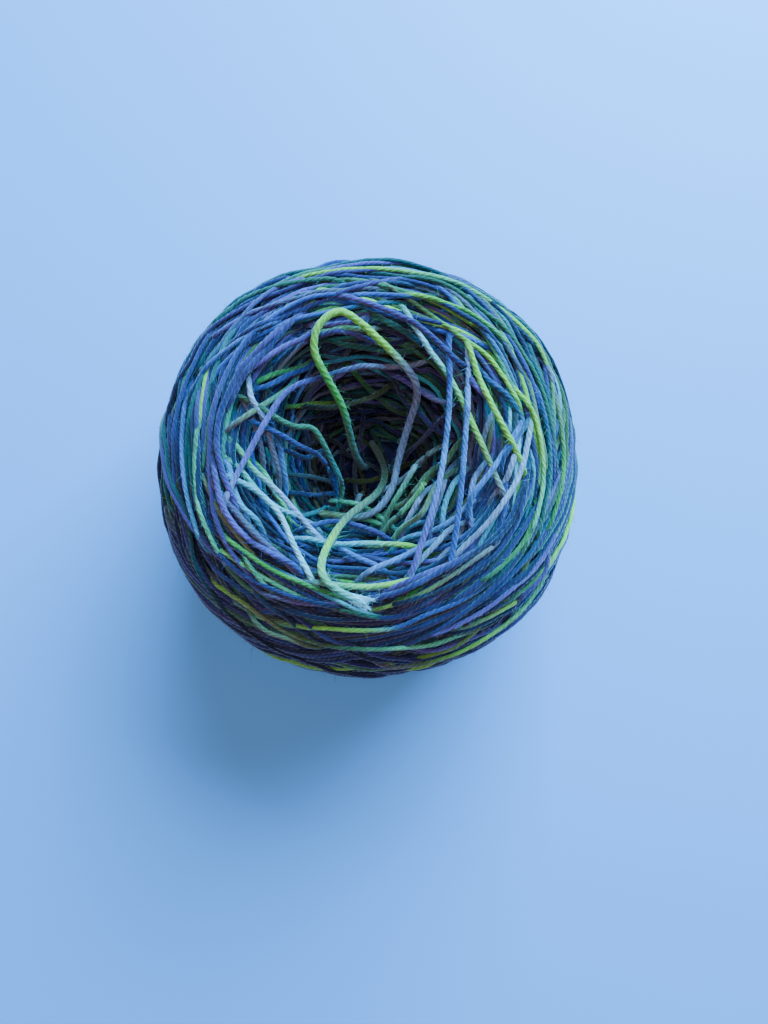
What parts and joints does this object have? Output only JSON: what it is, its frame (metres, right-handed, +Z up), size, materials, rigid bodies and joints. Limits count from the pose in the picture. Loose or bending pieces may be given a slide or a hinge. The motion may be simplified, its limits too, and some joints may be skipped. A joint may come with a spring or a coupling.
{
  "type": "wound yarn cake",
  "caption": "Short round cake of multicoloured yarn wound about an open centre pit, with a slack loop and a loose end lying on its rim, standing on a flat base.",
  "frame": {"origin": "middle of the flat base that the cake stands on", "axes": "+Z up along the winding axis, out of the centre pit; the loose end lies over the rim on the -Y side, which is the front; +X to the right seen from the front"},
  "size_m": [0.0846, 0.0834, 0.063],
  "materials": {
    "wound_yarn": "matt plied wool in indigo, violet, lime, sea green and pale blue, with a slight halo of fibre",
    "loop_yarn": "matt plied wool, lime fading to grey lavender",
    "end_yarn": "matt plied wool, yellow green fading to pale aqua, with a frayed tip"
  },
  "bodies": {
    "root": {"wound_body": "wound_yarn", "slack_loop": "loop_yarn", "loose_end": "end_yarn"}
  },
  "joints": []
}
